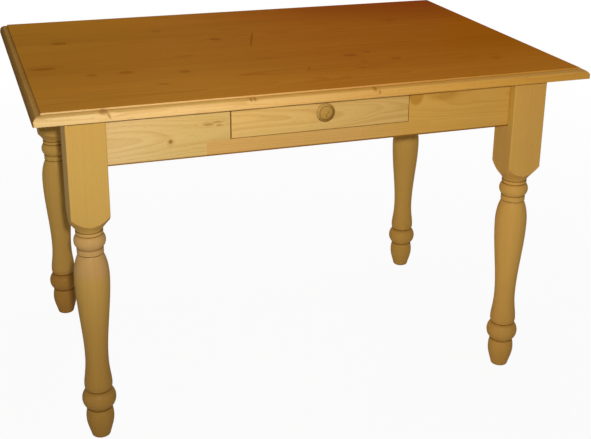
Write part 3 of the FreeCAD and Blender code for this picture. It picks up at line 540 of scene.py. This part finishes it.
def wear_and_painted_light_layers(tree, normal, patch, grime_and_shade):
    """Rubbed edges, which also paint the lamp's highlight along the arrises, and dirt with painted shade in
    hollows, quirks and gaps.
    """
    # paler where edges are rubbed, also a painted highlight along the arrises
    bevelled = add(tree, "Bevel", {"Radius": WEAR_RADIUS * MM}, samples=4)
    sharp = add(tree, "VectorMath", {0: bevelled, 1: normal}, "Value", operation="DOT_PRODUCT")
    edge = add(tree, "MapRange", {0: sharp, **SHARP_EDGE}, **SMOOTH)
    rubbed_and_lit = add(tree, "MapRange", {0: patch, **RUBBED_AND_LIT_PATCHES}, **SMOOTH)
    rubbed_and_lit_edge = add(tree, "Math", {0: edge, 1: rubbed_and_lit}, operation="MULTIPLY")
    # darker where nearby surfaces close in: dirt, and painted shade in hollows, quirks and gaps
    open_air = add(tree, "AmbientOcclusion", {"Distance": DIRT_AND_SHADE_REACH * MM}, "AO", samples=6)
    dirt_and_shade = add(tree, "MapRange", {0: open_air, **HOLLOW, 3: grime_and_shade}, **SMOOTH)
    return [(rubbed_and_lit_edge, RUBBED_EDGE_AND_HIGHLIGHT), (dirt_and_shade, DIRT_AND_SHADE)]


def pine(node, finish, hex_colour, axes, seed, pith, lean, knots, ageing_and_painted_light):
    """Scots pine: pale spring wood between thin amber summer lines, with red-brown knots."""
    look = FINISHES[finish]
    figure = look["figure"]
    material = new_material(f"{finish}_{node}")
    tree = material.node_tree
    place = add(tree, "TexCoord", output="Object")
    normal = add(tree, "NewGeometry", output="Normal")
    low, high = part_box(node)
    turn = Matrix(axes)
    shift = turn @ (low + high) * (-METRE / 2)
    own_axes = {"Vector": place, "Location": shift, "Rotation": turn.to_euler(), "Scale": (METRE,) * 3}
    grain = add(tree, "Mapping", own_axes, vector_type="POINT")
    marks = find_marks(tree, grain, seed)

    layers = []
    swirl = 0.0
    if knots:
        seats = [(turn @ Vector(centre) + shift, *rest) for centre, *rest in knots]
        swirl, layers = knot_layers(tree, grain, seats, marks["ripple"])
    summer = growth_rings(tree, grain, marks, swirl, pith, lean)
    rings = add(tree, "Math", {0: summer, 1: RINGS_SHOW * figure}, operation="MULTIPLY")
    layers.append((rings, LATEWOOD))
    streaks = {0: marks["streak"], **STREAKS, 4: STREAKS_SHOW * figure}
    layers.append((add(tree, "MapRange", streaks, **SMOOTH), STREAKED))
    flecks = {0: marks["fleck"], **FLECKS, 4: FLECKS_SHOW * figure}
    layers.append((add(tree, "MapRange", flecks, **SMOOTH), RESIN))
    cut = add(tree, "VectorMath", {0: normal, 1: axes[0]}, "Value", operation="DOT_PRODUCT")
    cut = add(tree, "Math", {0: cut}, operation="ABSOLUTE")
    start, end, tint = look["cut"]
    layers.append((add(tree, "MapRange", {0: cut, 1: start, 2: end}, **SMOOTH), tint))
    layers += ageing_and_painted_light_layers(tree, place, normal, look["ageing_and_painted_light"] + ageing_and_painted_light)
    layers += wear_and_painted_light_layers(tree, normal, marks["patch"], look["dirt_and_shade"])

    colour = linear(hex_colour)
    for share, tint in layers:
        wash = {0: share, 6: colour, 7: (*tint, 1.0)}
        colour = add(tree, "Mix", wash, 2, data_type="RGBA", blend_type="MULTIPLY")
    shade = FIBRE_SHADE * figure
    level = add(tree, "MapRange", {0: marks["cloud"], **CLOUDY})
    level = add(tree, "Math", {0: marks["fibre"], 1: shade, 2: level}, operation="MULTIPLY_ADD")
    level = add(tree, "Math", {0: level, 1: shade / 2}, operation="SUBTRACT")
    colour = add(tree, "VectorMath", {0: colour, "Scale": level}, operation="SCALE")

    roughness = look["roughness"]
    for mark, amount in UNEVEN_SHEEN:
        uneven = {0: marks[mark], 1: amount, 2: roughness}
        roughness = add(tree, "Math", uneven, operation="MULTIPLY_ADD")
    raised = {0: marks["fibre"], 1: FIBRE_RELIEF, 2: summer}
    relief = add(tree, "Math", raised, operation="MULTIPLY_ADD")
    bump = add(tree, "Bump", {"Height": relief, "Strength": 0.5, "Distance": PORE_DEPTH * MM})
    surface = {
        "Base Color": colour,
        "Roughness": roughness,
        "Normal": bump,
        "Specular IOR Level": 0.0,
        "Coat Weight": look["wax"],
        "Coat Roughness": BEESWAX_ROUGHNESS,
        "Coat IOR": BEESWAX_IOR,
    }
    add(tree, "OutputMaterial", {"Surface": add(tree, "BsdfPrincipled", surface)})
    return material


def zinc_plated_steel(node, seed):
    """Zinc-plated steel, drawn and plated: bright grey with a faint dull bloom."""
    material = new_material("zinc_plated_steel_" + node)
    tree = material.node_tree
    place = add(tree, "TexCoord", output="Object")
    crystals = {"Vector": place, "W": seed, "Scale": 1.0 / (ZINC_CRYSTAL * MM), "Detail": 2.0}
    bloom = add(tree, "TexNoise", crystals, noise_dimensions="4D")
    dulled = {0: bloom, 6: linear(ZINC_BRIGHT), 7: linear(ZINC_DULL)}
    colour = add(tree, "Mix", dulled, 2, data_type="RGBA")
    roughness = add(tree, "MapRange", {0: bloom, **ZINC_ROUGHNESS})
    bump = add(tree, "Bump", {"Height": bloom, "Strength": 0.3, "Distance": ZINC_DEPTH * MM})
    surface = {"Base Color": colour, "Metallic": 1.0, "Roughness": roughness, "Normal": bump}
    add(tree, "OutputMaterial", {"Surface": add(tree, "BsdfPrincipled", surface)})
    return material


def beech(node, seed):
    """Beech, turned and fluted for dowels: pinkish tan with short dark ray flecks."""
    material = new_material("beech_dowel_" + node)
    tree = material.node_tree
    place = add(tree, "TexCoord", output="Object")
    fleck_size = tuple(1.0 / (millimetres * MM) for millimetres in RAY_FLECK)
    stretched = add(tree, "VectorMath", {0: place, 1: fleck_size}, operation="MULTIPLY")
    speckle = {"Vector": stretched, "W": seed, "Scale": 1.0, "Detail": 0.0}
    fleck = add(tree, "TexNoise", speckle, noise_dimensions="4D")
    share = add(tree, "MapRange", {0: fleck, **RAYS}, **SMOOTH)
    flecked = {0: share, 6: linear(BEECH_TAN), 7: linear(BEECH_RAY)}
    colour = add(tree, "Mix", flecked, 2, data_type="RGBA")
    roughness = add(tree, "MapRange", {0: fleck, **BEECH_ROUGHNESS})
    bump = add(tree, "Bump", {"Height": fleck, "Strength": 0.3, "Distance": RAY_DEPTH * MM})
    surface = {
        "Base Color": colour,
        "Roughness": roughness,
        "Normal": bump,
        "Specular IOR Level": BEECH_GLOSS,
    }
    add(tree, "OutputMaterial", {"Surface": add(tree, "BsdfPrincipled", surface)})
    return material


def dress(node, material):
    """Gives a part its finish."""
    slots = nodes[node].material_slots
    for slot in slots:
        slot.material = material
    if not slots:
        nodes[node].data.materials.append(material)


make_camera()
for lamp, setting in LAMPS.items():
    make_softbox(lamp, *setting)
make_room()
make_floor()

for number, (piece, (finish, colour, axes, pith, lean)) in enumerate(PINE_PIECES.items()):
    seed = PIECE_SEED + PIECE_SEED_STEP * number
    knots = KNOTS.get(piece, ())
    ageing_and_painted_light = AGEING_AND_PAINTED_LIGHT.get(piece, ())
    dress(piece, pine(piece, finish, colour, axes, seed, pith, lean, knots, ageing_and_painted_light))
dress("rail_dowels", beech("rail_dowels", BEECH_SEED))
for number, piece in enumerate(STEEL_PIECES):
    dress(piece, zinc_plated_steel(piece, STEEL_SEED + number))

bpy.context.scene.view_settings.view_transform = "Standard"
